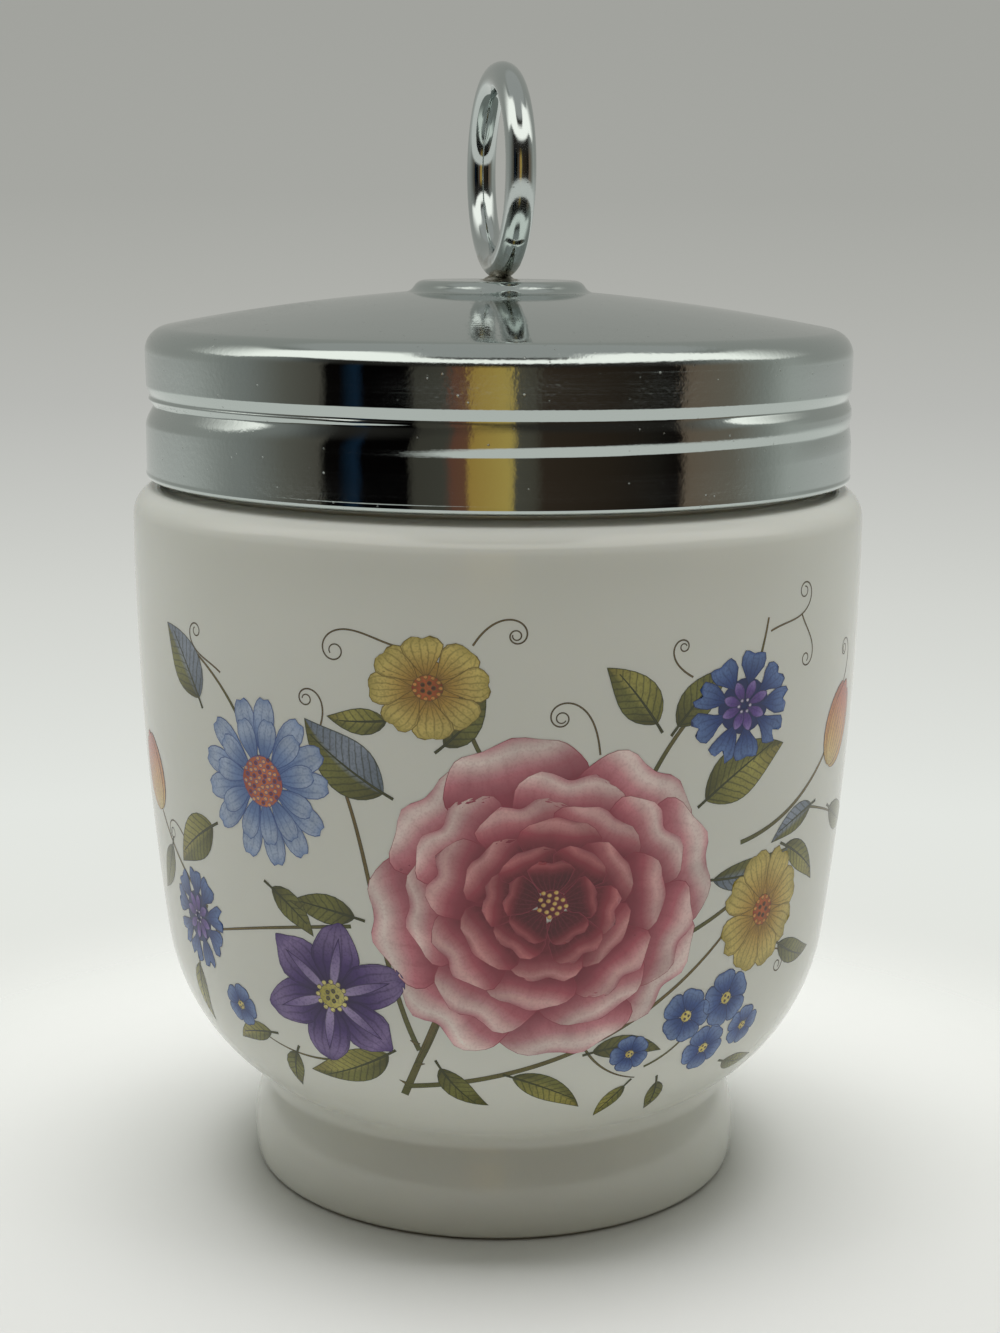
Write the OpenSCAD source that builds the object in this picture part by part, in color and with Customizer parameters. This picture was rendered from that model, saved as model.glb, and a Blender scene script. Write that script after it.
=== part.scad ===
// Porcelain egg coddler: a footed porcelain cup with a threaded neck, closed by a
// screw-on lid of chromed sheet metal that carries a lifting ring.
// Millimetres, +Z up, origin on the table at the axis of the cup.
// Angles go anticlockwise seen from above, from +X. The front faces -Y.

/* [Cup body] */
// Outer diameter of the cup at its widest line
cup_d = 64.8; // [62:0.2:72]
// Height of the widest line above the table
widest_z = 59; // [54:0.5:66]
// Height of the shoulder ledge under the lid above the widest line
shoulder_h = 3.6; // [3:0.1:5]
// Radius of the rounded outer edge of the shoulder
shoulder_r = 2.8; // [1.5:0.1:3]
// Radius of the long arc that the side follows in profile
side_r = 283; // [200:1:600]
// Radius of the round of the bowl in profile
bowl_r = 18.7; // [14:0.1:22]
// Height of the floor inside the cup above the table
floor_z = 9.6; // [8:0.1:12]
// Thickness of the side and bowl wall
wall_t = 3.2; // [2:0.1:5]
// Thickness of the floor of the cup
floor_t = 3.6; // [2.5:0.1:5]
// Radius of the two inner curves that draw the wall in to the neck
inner_blend_r = 3.5; // [2.5:0.1:5]
// Drop from the shoulder ledge to where the wall begins to draw in
inner_blend_drop = 5.6; // [5:0.1:8]

/* [Foot] */
// Widest outer diameter of the foot ring
foot_d = 44.8; // [40:0.2:48]
// Height of the widest line of the foot ring
foot_bulge_z = 3; // [2:0.1:4]
// Radius of the foot ring's bulging outside in profile
foot_bulge_r = 12; // [8:0.5:20]
// Radius of the hollow between foot ring and bowl
waist_r = 1.6; // [1:0.1:3]
// Width of the foot ring at the table
foot_ring_w = 3.6; // [2.5:0.1:5]
// Radius of the foot ring's rounded lower edges
foot_edge_r = 0.8; // [0.4:0.1:1.2]
// Radius in the inner corner of the recess under the cup
recess_r = 1.5; // [0.8:0.1:2]

/* [Neck] */
// Outer diameter of the neck below its thread
neck_d = 58.8; // [54:0.2:60.6]
// Height of the neck from the shoulder ledge to the rim
neck_h = 10.8; // [9:0.1:14]
// Thickness of the neck wall
neck_t = 3; // [2:0.1:4]
// Radius of the rounded edges of the rim
rim_edge_r = 0.8; // [0.4:0.1:1]

/* [Thread] */
// Rise of the thread in one turn
pitch = 2.4; // [2.2:0.1:3.2]
// Height of the moulded thread ridge above the neck
ridge_h = 0.75; // [0.6:0.05:0.8]
// Width of that ridge at its root
ridge_root_w = 1.4; // [1:0.05:1.5]
// Width of that ridge at its crest
ridge_crest_w = 0.5; // [0.3:0.05:0.7]
// Turns of that ridge round the neck
ridge_turns = 1.25; // [0.75:0.05:1.3]
// Angle at which that ridge begins at its lower end
ridge_start = -50; // [-90:5:-40]
// Depth of the thread groove rolled into the lid skirt
groove_depth = 0.75; // [0.7:0.05:0.85]
// Width of that groove at the skirt's surface
groove_w = 2; // [1.6:0.05:2.1]
// Width of that groove at its bottom
groove_bottom_w = 0.3; // [0.2:0.05:0.4]
// Angle at which that groove begins at its lower end
groove_start = -110; // [-130:5:-90]
// Angle over which that groove runs round the lid
groove_sweep = 405; // [380:5:405]
// How far the groove's beginning lies below the rim of the cup, with the lid closed
groove_drop = 5.7; // [5.5:0.1:6]
// Angle over which the groove deepens at its beginning
groove_run_in = 75; // [60:5:120]
// Angle over which the groove fades at its end
groove_run_out = 60; // [30:5:90]
// How far the neck's ridge lies above the lid's ridge with the lid closed
ridge_lead = 1; // [0.9:0.05:1.1]

/* [Lid] */
// Thickness of the lid's sheet metal
sheet_t = 0.5; // [0.4:0.05:0.6]
// Depth of the bead groove that runs level round the skirt
bead_depth = 0.38; // [0.3:0.02:0.5]
// Width of that groove
bead_w = 1.7; // [1.4:0.05:2]
// How far that groove lies below the rim of the cup, with the lid closed
bead_drop = 2.8; // [2.5:0.1:3]
// Thickness of the rolled hem along the lid's lower edge
hem_d = 0.84; // [0.7:0.02:1]
// How far the hem stands out beyond the skirt
hem_proud = 0.1; // [0:0.02:0.2]
// Radius of the rounded outer corner of the lid
corner_r = 2.2; // [1.4:0.1:3]
// Slope of the crown where it meets that corner, degrees
crown_slope = 11; // [8:0.5:13]
// Radius of the crown's arc in profile
crown_r = 200; // [170:5:300]
// Diameter of the embossed boss at its foot
boss_d = 17; // [14:0.5:20]
// Height of the boss above the crown
boss_h = 1.07; // [0.8:0.01:1.2]
// Radius of the two curves up the side of the boss
boss_r = 1.1; // [0.9:0.05:1.5]

/* [Sealing ring] */
// Height of the rubber ring's straight outer edge
seal_edge_h = 0.9; // [0.6:0.1:2.5]
// Width of the rubber ring
seal_w = 3.9; // [3:0.1:4.5]

/* [Lifting ring] */
// Outer diameter of the lifting ring
ring_d = 18.6; // [16:0.2:26]
// Diameter of its wire
wire_d = 2.6; // [2:0.1:3.2]
// Turn of the ring on the lid away from the front, degrees
ring_turn = 12.5; // [-90:0.5:90]
// Length of the brazed joint along the ring
braze_l = 5.6; // [4:0.1:7]
// Width of the brazed joint across the ring
braze_w = 2; // [1.4:0.1:2.2]

/* [Clearances] */
// Gap between the lid's lower edge and the shoulder ledge, with the lid closed
hem_gap = 0.8; // [0.5:0.05:1.2]
// Radial gap between the neck's ridge and the bead inside the lid
bead_clear = 0.07; // [0.05:0.01:0.15]
// Gap between the sealing ring and the lid round it
seal_fit = 0.03; // [0.02:0.01:0.06]
// Thickness of the braze under the lowest point of the lifting ring
braze_film = 0.1; // [0.05:0.01:0.2]

/* [Hidden] */
$fn = 128;

// Points on an arc about c, from angle a0 to a1, in steps of at most `step` degrees.
function arc(c, r, a0, a1, step = 6) =
    let (n = max(1, ceil(abs(a1 - a0) / step)))
    [for (i = [0:n]) let (a = a0 + (a1 - a0) * i / n) c + r * [cos(a), sin(a)]];

// The list without points that repeat the one before.
function joined(list) =
    [for (i = [0:len(list) - 1]) if (i == 0 || norm(list[i] - list[max(i - 1, 0)]) > 0.01) list[i]];

function reversed(list) = [for (i = [len(list) - 1:-1:0]) list[i]];

// The crossing to the right of two circles, seen from c0 to c1.
function crossing(c0, r0, c1, r1) =
    let (
        d = norm(c1 - c0),
        u = (c1 - c0) / d,
        along = (r0 * r0 - r1 * r1 + d * d) / (2 * d),
        off = sqrt(r0 * r0 - along * along)
    )
    c0 + along * u + off * [u.y, -u.x];

// Direction from p to q, degrees.
function heading(p, q) = atan2(q.y - p.y, q.x - p.x);

// 0 to 1 with a soft start and end.
function soft(t) = let (s = min(max(t, 0), 1)) s * s * (3 - 2 * s);

// Cup outside: the side's long arc runs down from the widest line into the bowl's arc.
cup_r = cup_d / 2;
neck_r = neck_d / 2;
side_c = [cup_r - side_r, widest_z];
bowl_z = floor_z + bowl_r - wall_t;
side_turn = asin((widest_z - bowl_z) / (side_r - bowl_r));
bowl_c = side_c + (side_r - bowl_r) * [cos(side_turn), -sin(side_turn)];
ledge_z = widest_z + shoulder_h;
ledge_min = 0.2;
shoulder_round = min(shoulder_r, shoulder_h, cup_r - neck_r - ledge_min);
shoulder_c = [cup_r - shoulder_round, ledge_z - shoulder_round];

// Foot: its bulge and the bowl are joined by the waist, an arc tangent to both.
foot_c = [foot_d / 2 - foot_bulge_r, foot_bulge_z];
waist_c = crossing(foot_c, foot_bulge_r + waist_r, bowl_c, bowl_r + waist_r);
foot_edge_a = asin((foot_bulge_z - foot_edge_r) / (foot_bulge_r - foot_edge_r));
foot_edge_c = foot_c + (foot_bulge_r - foot_edge_r) * [cos(foot_edge_a), -sin(foot_edge_a)];
ring_in = foot_edge_c.x + foot_edge_r - foot_ring_w;
recess_z = floor_z - floor_t;
recess_round = min(recess_r, recess_z - foot_edge_r);

// Neck and rim. Inside, two equal arcs lead from the side to the mouth.
mouth_r = neck_r - neck_t;
rim_z = ledge_z + neck_h;
blend_z = ledge_z - inner_blend_drop;
blend_dip = asin((widest_z - blend_z) / (side_r - wall_t));
blend_r = side_c.x + (side_r - wall_t) * cos(blend_dip);
blend_a = acos(1 - (blend_r - mouth_r) / (2 * inner_blend_r));
blend_top_z = blend_z + 2 * inner_blend_r * sin(blend_a);

// Lid: its skirt clears the neck's ridge by the bead's depth and a gap.
skirt_in = neck_r + ridge_h + bead_clear + bead_depth;
skirt_r = skirt_in + sheet_t;
hem_z = ledge_z + hem_gap;
thread_z = rim_z - groove_drop;
bead_z = rim_z - bead_drop;
bead_r = (pow(bead_w / 2, 2) + pow(bead_depth, 2)) / (2 * bead_depth);
bead_a = asin(bead_w / (2 * bead_r));
corner_c = [skirt_r - corner_r, rim_z + seal_edge_h];
crown_start = corner_c + corner_r * [sin(crown_slope), cos(crown_slope)];
crown_c = crown_start - crown_r * [sin(crown_slope), cos(crown_slope)];
boss_foot_r = boss_d / 2;
boss_foot_z = crown_c.y + sqrt(pow(crown_r, 2) - pow(boss_foot_r - crown_c.x, 2));
boss_a = acos(1 - boss_h / (2 * boss_r));
boss_top_z = boss_foot_z + boss_h;
ring_z = boss_top_z + braze_film + ring_d / 2;

// Profile of the lid a depth t below its outer surface: the skirt upwards from the hem,
// with its bead, then the corner, the crown and the boss, to the axis.
function lid_profile(t) = concat(
    [[skirt_r - t, hem_z + hem_d / 2]],
    arc([skirt_r - t - bead_depth + bead_r, bead_z], bead_r, 180 + bead_a, 180 - bead_a, 12),
    arc(corner_c, corner_r - t, 0, 90 - crown_slope),
    arc(crown_c, crown_r - t, 90 - crown_slope, crown_angle(boss_foot_r, t), 1.5),
    arc([boss_foot_r, boss_foot_z + boss_r], boss_r + t, -90, -90 - boss_a, 10),
    arc([boss_foot_r - 2 * boss_r * sin(boss_a), boss_top_z - boss_r], boss_r - t,
        90 - boss_a, 90, 10),
    [[0, boss_top_z - t]]
);

// Angle on the crown's arc, a depth t below its surface, at which it reaches radius r.
function crown_angle(r, t) = acos((r - crown_c.x) / (crown_r - t));

// A ridge that climbs a helix. Its section is a trapezium from radius r_root, where it is
// root_w wide, to r_tip, where it is tip_w wide. It grows over run_in and fades over run_out.
module helix_strip(start, sweep, z0, r_root, r_tip, root_w, tip_w, run_in, run_out) {
    steps = ceil(sweep / 6);
    rings = [for (i = [0:steps])
        let (
            a = sweep * i / steps,
            full = max(0.02, min(soft(a / run_in), soft((sweep - a) / run_out))),
            tip = r_root + (r_tip - r_root) * full,
            root_half = (tip_w + (root_w - tip_w) * full) / 2,
            z = z0 + pitch * a / 360
        )
        [for (p = [[r_root, z - root_half], [tip, z - tip_w / 2],
                   [tip, z + tip_w / 2], [r_root, z + root_half]])
            [p.x * cos(start + a), p.x * sin(start + a), p.y]]];
    points = [for (ring = rings) for (p = ring) p];
    sides = [for (i = [0:steps - 1]) for (k = [0:3])
        let (a = 4 * i + k, b = 4 * i + (k + 1) % 4)
        each [[a, b, b + 4], [a, b + 4, a + 4]]];
    last = 4 * steps;
    ends = [[0, 3, 2], [0, 2, 1], [last, last + 1, last + 2], [last, last + 2, last + 3]];
    outward = r_tip > r_root;
    faces = concat(sides, ends);
    polyhedron(points, outward ? faces : [for (f = faces) [f[2], f[1], f[0]]]);
}

// One-piece glazed porcelain cup with foot ring, recess, threaded neck and plain rim.
module porcelain_cup() {
    sink = 0.25;
    color("#edece6")
    union() {
        rotate_extrude()
        polygon(joined(concat(
            [[0, recess_z]],
            arc([ring_in - recess_round, recess_z - recess_round], recess_round, 90, 0, 15),
            arc([ring_in + foot_edge_r, foot_edge_r], foot_edge_r, 180, 270, 15),
            arc(foot_edge_c, foot_edge_r, -90, heading(foot_c, foot_edge_c), 15),
            arc(foot_c, foot_bulge_r, heading(foot_c, foot_edge_c), heading(foot_c, waist_c), 4),
            arc(waist_c, waist_r, 360 + heading(waist_c, foot_c), heading(waist_c, bowl_c), 10),
            arc(bowl_c, bowl_r, heading(bowl_c, waist_c), -side_turn, 4),
            arc(side_c, side_r, -side_turn, 0, 1),
            arc(shoulder_c, shoulder_round, 0, 90, 10),
            [[neck_r, ledge_z]],
            arc([neck_r - rim_edge_r, rim_z - rim_edge_r], rim_edge_r, 0, 90, 15),
            arc([mouth_r + rim_edge_r, rim_z - rim_edge_r], rim_edge_r, 90, 180, 15),
            arc([mouth_r + inner_blend_r, blend_top_z], inner_blend_r, 180, 180 + blend_a, 8),
            arc([blend_r - inner_blend_r, blend_z], inner_blend_r, blend_a, 0, 8),
            arc(side_c, side_r - wall_t, -blend_dip, -side_turn, 1),
            arc(bowl_c, bowl_r - wall_t, -side_turn, -90, 4),
            [[0, floor_z]]
        )));
        helix_strip(ridge_start, 360 * ridge_turns,
            thread_z + ridge_lead + pitch * (ridge_start - groove_start) / 360,
            neck_r - sink, neck_r + ridge_h,
            ridge_root_w + (ridge_root_w - ridge_crest_w) * sink / ridge_h, ridge_crest_w,
            30, 30);
    }
}

// Rubber ring that lies on the rim and fills the outer corner inside the lid.
module sealing_ring() {
    out_r = skirt_in - seal_fit;
    in_r = out_r - seal_w;
    gap = sheet_t + seal_fit;
    color("#ad6f59")
    rotate_extrude()
    polygon(joined(concat(
        [[in_r, rim_z], [out_r, rim_z]],
        arc(corner_c, corner_r - gap, 0, 90 - crown_slope, 10),
        arc(crown_c, crown_r - gap, 90 - crown_slope, crown_angle(in_r, gap), 1)
    )));
}

// Chromed sheet-metal lid: boss, crown, skirt with bead and thread, rolled hem.
module lid_shell() {
    sink = 0.2;
    flare = (groove_w - groove_bottom_w) / groove_depth;
    color("#c9ced2")
    difference() {
        union() {
            rotate_extrude()
            polygon(joined(concat(lid_profile(0), reversed(lid_profile(sheet_t)))));
            rotate_extrude()
            translate([skirt_r + hem_proud - hem_d / 2, hem_z + hem_d / 2])
            circle(d = hem_d, $fn = 32);
            helix_strip(groove_start, groove_sweep, thread_z,
                skirt_in + sink, skirt_in - groove_depth,
                groove_w + flare * sink, groove_bottom_w, groove_run_in, groove_run_out);
        }
        helix_strip(groove_start, groove_sweep, thread_z,
            skirt_r + sink, skirt_r - groove_depth,
            groove_w + flare * sink, groove_bottom_w, groove_run_in, groove_run_out);
    }
}

// Closed ring of round wire that stands on the boss.
module ring_wire() {
    translate([0, 0, ring_z])
    rotate([0, 0, ring_turn - 90])
    rotate([90, 0, 0])
    rotate_extrude()
    translate([(ring_d - wire_d) / 2, 0])
    circle(d = wire_d, $fn = 48);
}

module lifting_ring() {
    color("#c9ced2")
    ring_wire();
}

// Braze metal that fills the wedges between the ring and the top of the boss.
module ring_braze() {
    braze_h = ring_z - sqrt(pow(ring_d / 2, 2) - pow(braze_l / 2, 2)) - boss_top_z;
    color("#b9b7a8")
    difference() {
        translate([0, 0, boss_top_z + braze_h / 2])
        rotate([0, 0, ring_turn - 90])
        cube([braze_l, braze_w, braze_h], center = true);
        ring_wire();
    }
}

porcelain_cup();
sealing_ring();
lid_shell();
lifting_ring();
ring_braze();
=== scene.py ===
import math

import bpy
import numpy as np
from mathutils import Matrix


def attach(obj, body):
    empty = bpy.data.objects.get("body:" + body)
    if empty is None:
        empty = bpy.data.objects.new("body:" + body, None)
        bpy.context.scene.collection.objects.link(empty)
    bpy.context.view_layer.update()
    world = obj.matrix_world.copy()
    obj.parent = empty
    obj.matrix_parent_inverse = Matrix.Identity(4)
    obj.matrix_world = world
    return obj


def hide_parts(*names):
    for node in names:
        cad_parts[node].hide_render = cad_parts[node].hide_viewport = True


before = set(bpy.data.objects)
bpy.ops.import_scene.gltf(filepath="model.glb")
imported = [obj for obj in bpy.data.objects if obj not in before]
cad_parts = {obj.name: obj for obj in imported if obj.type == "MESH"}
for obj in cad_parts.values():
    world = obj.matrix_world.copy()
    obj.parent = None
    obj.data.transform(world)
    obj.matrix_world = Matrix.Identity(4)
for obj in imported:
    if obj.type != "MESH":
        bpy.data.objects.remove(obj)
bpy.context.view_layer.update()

# ---------------------------------------------------------------- porcelain cup
# One piece of hard porcelain: slip-cast body with foot ring, shoulder and threaded neck,
# dipped in clear feldspar glaze and fired. Only the foot's standing ring is wiped bare.

CUP_R, WIDEST_Z, SIDE_R, BOWL_R = 32.4, 59.0, 283.0, 18.7
FLOOR_Z, WALL, FLOOR_T = 9.6, 3.2, 3.6
FOOT_R, BULGE_Z, BULGE_R, WAIST_R = 22.4, 3.0, 12.0, 1.6
FOOT_RING, FOOT_EDGE, RECESS_R = 3.6, 0.8, 1.5
LEDGE_Z, SHOULDER_R, NECK_R, MOUTH_R, RIM_Z, RIM_EDGE = 62.95, 2.8, 29.4, 26.4, 73.4, 0.8
BLEND_R, BLEND_Z = 3.5, 57.0
PITCH, RIDGE_H, RIDGE_FOOT, RIDGE_CREST = 2.4, 0.75, 0.7, 0.25
RIDGE_START, RIDGE_SWEEP, RIDGE_Z, RIDGE_FADE = -50.0, 450.0, 69.1, 30.0


def arc(centre, radius, start, end, step):
    """Points centre + radius (cos a, sin a) for a from start to end degrees, step mm apart."""
    count = max(3, int(abs(math.radians(end - start)) * radius / step) + 1)
    a = np.radians(np.linspace(start, end, count))
    return np.stack([centre[0] + radius * np.cos(a), centre[1] + radius * np.sin(a)], axis=1)


def line(a, b, step):
    """Points from a to b, step mm apart, without b."""
    count = max(1, int(math.dist(a, b) / step))
    return np.linspace(a, b, count + 1)[:-1]


def soft(t):
    """3 t^2 - 2 t^3, held at 0 and 1 outside that range."""
    s = np.clip(t, 0, 1)
    return s * s * (3 - 2 * s)


def angle_to(a, b):
    """Direction from a to b in degrees, from the slope of the line between them."""
    return math.degrees(math.atan2(b[1] - a[1], b[0] - a[0]))


def smooth_piece(name, points, faces):
    """A smooth-shaded object, from points in mm and faces that index them."""
    mesh = bpy.data.meshes.new(name)
    mesh.from_pydata(points / 1000, [], faces)
    mesh.shade_smooth()
    made = bpy.data.objects.new(name, mesh)
    bpy.context.scene.collection.objects.link(made)
    return made


def closed_turning(name, radius, height, angle):
    """A solid of turning from (rows, columns) arrays of radius and height at the angles of
    the columns: quads join neighbouring rows and columns, the last column meets the first,
    and the first and last rows, which lie on the axis, shrink to one point each."""
    rows, columns = radius.shape
    points = np.stack([radius * np.cos(angle), radius * np.sin(angle), height], axis=-1)
    inner = points[1:-1].reshape(-1, 3)
    poles = np.stack([points[0, 0], points[-1, 0]])
    index = np.arange(inner.shape[0]).reshape(rows - 2, columns)
    right = np.roll(index, -1, axis=1)
    quads = np.stack([index[:-1], right[:-1], right[1:], index[1:]], axis=-1).reshape(-1, 4)
    low = np.stack([np.full(columns, len(inner)), right[0], index[0]], axis=-1)
    high = np.stack([np.full(columns, len(inner) + 1), index[-1], right[-1]], axis=-1)
    faces = low.tolist() + quads.tolist() + high.tolist()
    return smooth_piece(name, np.concatenate([inner, poles]), faces)


def hex_rgb(code):
    """sRGB hex to linear: ((c + 0.055) / 1.055)^2.4 above 0.04045 and c / 12.92 below it."""
    srgb = np.array([int(code[i:i + 2], 16) / 255 for i in (1, 3, 5)])
    rgb = np.where(srgb > 0.04045, ((srgb + 0.055) / 1.055) ** 2.4, srgb / 12.92)
    return (*rgb.tolist(), 1.0)


def add(tree, kind, inputs=None, **settings):
    """Adds a shader node. `settings` are its properties; `inputs` gives, for a socket's name
    or number, a value or the output that feeds it."""
    made = tree.nodes.new("ShaderNode" + kind)
    for name, value in settings.items():
        setattr(made, name, value)
    for socket, value in (inputs or {}).items():
        if isinstance(value, bpy.types.NodeSocket):
            tree.links.new(value, made.inputs[socket])
        else:
            made.inputs[socket].default_value = value
    return made


def finish_of(name, **sockets):
    """A material with a Principled shader, whose constant sockets are set by name."""
    material = bpy.data.materials.new(name)
    material.use_nodes = True
    shader = material.node_tree.nodes["Principled BSDF"]
    for socket, value in sockets.items():
        shader.inputs[socket.replace("_", " ")].default_value = value
    return material, material.node_tree, shader


# Outer profile: foot, waist, bowl and side are arcs that run into one another.
side_c = np.array([CUP_R - SIDE_R, WIDEST_Z])
side_turn = math.degrees(math.asin((WIDEST_Z - FLOOR_Z - BOWL_R + WALL) / (SIDE_R - BOWL_R)))
side_way = np.array([math.cos(math.radians(side_turn)), -math.sin(math.radians(side_turn))])
bowl_c = side_c + (SIDE_R - BOWL_R) * side_way
foot_c = np.array([FOOT_R - BULGE_R, BULGE_Z])
to_bowl = bowl_c - foot_c
gap = float(np.hypot(*to_bowl))
along = ((BULGE_R + WAIST_R) ** 2 - (BOWL_R + WAIST_R) ** 2 + gap ** 2) / (2 * gap)
aside = math.sqrt((BULGE_R + WAIST_R) ** 2 - along ** 2)
waist_c = foot_c + (along * to_bowl + aside * np.array([to_bowl[1], -to_bowl[0]])) / gap
foot_dip = math.asin((BULGE_Z - FOOT_EDGE) / (BULGE_R - FOOT_EDGE))
foot_edge_c = foot_c + (BULGE_R - FOOT_EDGE) * np.array([math.cos(foot_dip), -math.sin(foot_dip)])
ring_in = foot_edge_c[0] + FOOT_EDGE - FOOT_RING
recess_z = FLOOR_Z - FLOOR_T
blend_dip = math.degrees(math.asin((WIDEST_Z - BLEND_Z) / (SIDE_R - WALL)))
blend_x = side_c[0] + (SIDE_R - WALL) * math.cos(math.radians(blend_dip))
blend_a = math.degrees(math.acos(1 - (blend_x - MOUTH_R) / (2 * BLEND_R)))
blend_top = BLEND_Z + 2 * BLEND_R * math.sin(math.radians(blend_a))
bowl_arc = arc(bowl_c, BOWL_R, angle_to(bowl_c, waist_c), -side_turn, 0.5)
side_arc = arc(side_c, SIDE_R, -side_turn, 0, 1.2)
profile = np.concatenate([
    line([0, recess_z], [ring_in - RECESS_R, recess_z], 2.2),
    arc([ring_in - RECESS_R, recess_z - RECESS_R], RECESS_R, 90, 0, 0.35),
    arc([ring_in + FOOT_EDGE, FOOT_EDGE], FOOT_EDGE, 180, 270, 0.2),
    arc(foot_edge_c, FOOT_EDGE, -90, -math.degrees(foot_dip), 0.2),
    arc(foot_c, BULGE_R, -math.degrees(foot_dip), angle_to(foot_c, waist_c), 0.45)[1:],
    arc(waist_c, WAIST_R, 360 + angle_to(waist_c, foot_c), angle_to(waist_c, bowl_c), 0.18)[1:],
    bowl_arc[1:],
    side_arc[1:],
    arc([CUP_R - SHOULDER_R, LEDGE_Z - SHOULDER_R], SHOULDER_R, 0, 90, 0.3)[1:],
    line([NECK_R, LEDGE_Z], [NECK_R, RIM_Z - RIM_EDGE], 0.15),
    arc([NECK_R - RIM_EDGE, RIM_Z - RIM_EDGE], RIM_EDGE, 0, 90, 0.18),
    arc([MOUTH_R + RIM_EDGE, RIM_Z - RIM_EDGE], RIM_EDGE, 90, 180, 0.18),
    arc([MOUTH_R + BLEND_R, blend_top], BLEND_R, 180, 180 + blend_a, 0.6),
    arc([blend_x - BLEND_R, BLEND_Z], BLEND_R, blend_a, 0, 0.6)[1:],
    arc(side_c, SIDE_R - WALL, -blend_dip, -side_turn, 2.5)[1:],
    arc(bowl_c, BOWL_R - WALL, -side_turn, -90, 0.9)[1:],
    line([bowl_c[0], FLOOR_Z], [0, FLOOR_Z], 2.2)[1:],
    [[0, FLOOR_Z]],
])
columns = np.linspace(0, 2 * math.pi, 288, endpoint=False)
radius = np.repeat(profile[:, :1], len(columns), axis=1)
height = np.repeat(profile[:, 1:], len(columns), axis=1)

# The moulded thread lifts the neck's face where it crosses a helix: its flanks fall from the
# crest to the foot, and it grows and fades over RIDGE_FADE degrees.
on_neck = np.isclose(radius, NECK_R, atol=0.01) & (height > LEDGE_Z + 0.01)
for lap in (0, 360):
    turned = (np.degrees(columns) - RIDGE_START) % 360 + lap
    crest_z = RIDGE_Z + PITCH * turned / 360
    flank = (RIDGE_FOOT - np.abs(height - crest_z)) / (RIDGE_FOOT - RIDGE_CREST)
    full = soft(turned / RIDGE_FADE) * soft((RIDGE_SWEEP - turned) / RIDGE_FADE)
    radius = np.where(on_neck, np.maximum(radius, NECK_R + RIDGE_H * full * soft(flank)), radius)

cup = closed_turning("cup_porcelain", radius, height, columns)

# Glazed hard porcelain: a warm white body that lets a little light in, under glass-clear
# glaze. The glaze wavers by a few hundredths of a millimetre over a centimetre, like orange
# peel, and holds rare dark specks; the wiped foot ring is matt biscuit, greyed from standing.
glaze, tree, shader = finish_of(
    "glazed porcelain", IOR=1.5, Subsurface_Weight=0.12, Subsurface_Scale=0.0018,
    Subsurface_Radius=(1.0, 0.85, 0.6), Specular_IOR_Level=0.5)
place = add(tree, "TexCoord").outputs["Object"]
depth = add(tree, "SeparateXYZ", {0: place}).outputs["Z"]
bare = add(tree, "MapRange", {0: depth, 1: 0.0003, 2: 0.00012, 3: 0.0, 4: 1.0}).outputs[0]
cloud = add(tree, "TexNoise", {"Vector": place, "Scale": 60, "Detail": 3}).outputs[0]
white = add(tree, "Mix", {0: cloud, 6: hex_rgb("#ebece4"), 7: hex_rgb("#e3e5dc")},
            data_type="RGBA").outputs[2]
speck = add(tree, "TexVoronoi", {"Vector": place, "Scale": 190}, feature="F1")
rare = add(tree, "SeparateXYZ", {0: speck.outputs["Color"]}).outputs[0]
pick = add(tree, "Math", {0: rare, 1: 0.985}, operation="GREATER_THAN").outputs[0]
dot = add(tree, "MapRange", {0: speck.outputs["Distance"], 1: 0.035, 2: 0.02, 3: 0.0, 4: 0.55}).outputs[0]
spot = add(tree, "Math", {0: pick, 1: dot}, operation="MULTIPLY").outputs[0]
marked = add(tree, "Mix", {0: spot, 6: white, 7: hex_rgb("#8f887b")}, data_type="RGBA").outputs[2]
worn = add(tree, "Mix", {0: bare, 6: marked, 7: hex_rgb("#b9b3a6")}, data_type="RGBA").outputs[2]
tree.links.new(worn, shader.inputs["Base Color"])
matt = add(tree, "MapRange", {0: bare, 3: 0.09, 4: 0.7}).outputs[0]
tree.links.new(matt, shader.inputs["Roughness"])
peel = add(tree, "TexNoise", {"Vector": place, "Scale": 90, "Detail": 1}).outputs[0]
relief = add(tree, "Bump", {"Height": peel, "Strength": 0.12, "Distance": 0.0004}).outputs[0]
tree.links.new(relief, shader.inputs["Normal"])
cup.data.materials.append(glaze)
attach(cup, "cup")
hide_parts("porcelain_cup")

# ---------------------------------------------------------------- stems of the print
# The print is ceramic transfer: enamel colours, each about a hundredth of a millimetre thick,
# slid on to the glaze wet and fired into it. Stalks and tendrils are drawn as tapering
# brown-green strokes with a darker line on each side.

PRINT_R = 31.4
outside = np.concatenate([bowl_arc, side_arc[1:]])
steps = np.hypot(*np.diff(outside, axis=0).T)
print_s = np.concatenate([[0], np.cumsum(steps)])
print_s += WIDEST_Z - print_s[-1]
ways = np.gradient(outside, print_s, axis=0)
rng = np.random.default_rng(11)


def on_cup(x, y, lift):
    """Flat print to cup: x mm turns round the axis from the front, y mm climbs the side along
    its outline, and lift mm stands out along the normal."""
    r = np.interp(y, print_s, outside[:, 0]) + lift * np.interp(y, print_s, ways[:, 1])
    z = np.interp(y, print_s, outside[:, 1]) - lift * np.interp(y, print_s, ways[:, 0])
    turn = x / PRINT_R - math.pi / 2
    return np.stack([r * np.cos(turn), r * np.sin(turn), z], axis=-1)


def tinted(t, stops):
    """Colour along t, mixed between (t, hex) stops."""
    at = [stop[0] for stop in stops]
    rgb = np.array([hex_rgb(stop[1]) for stop in stops])
    return np.stack([np.interp(t, at, rgb[:, k]) for k in range(4)], axis=-1)


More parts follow.
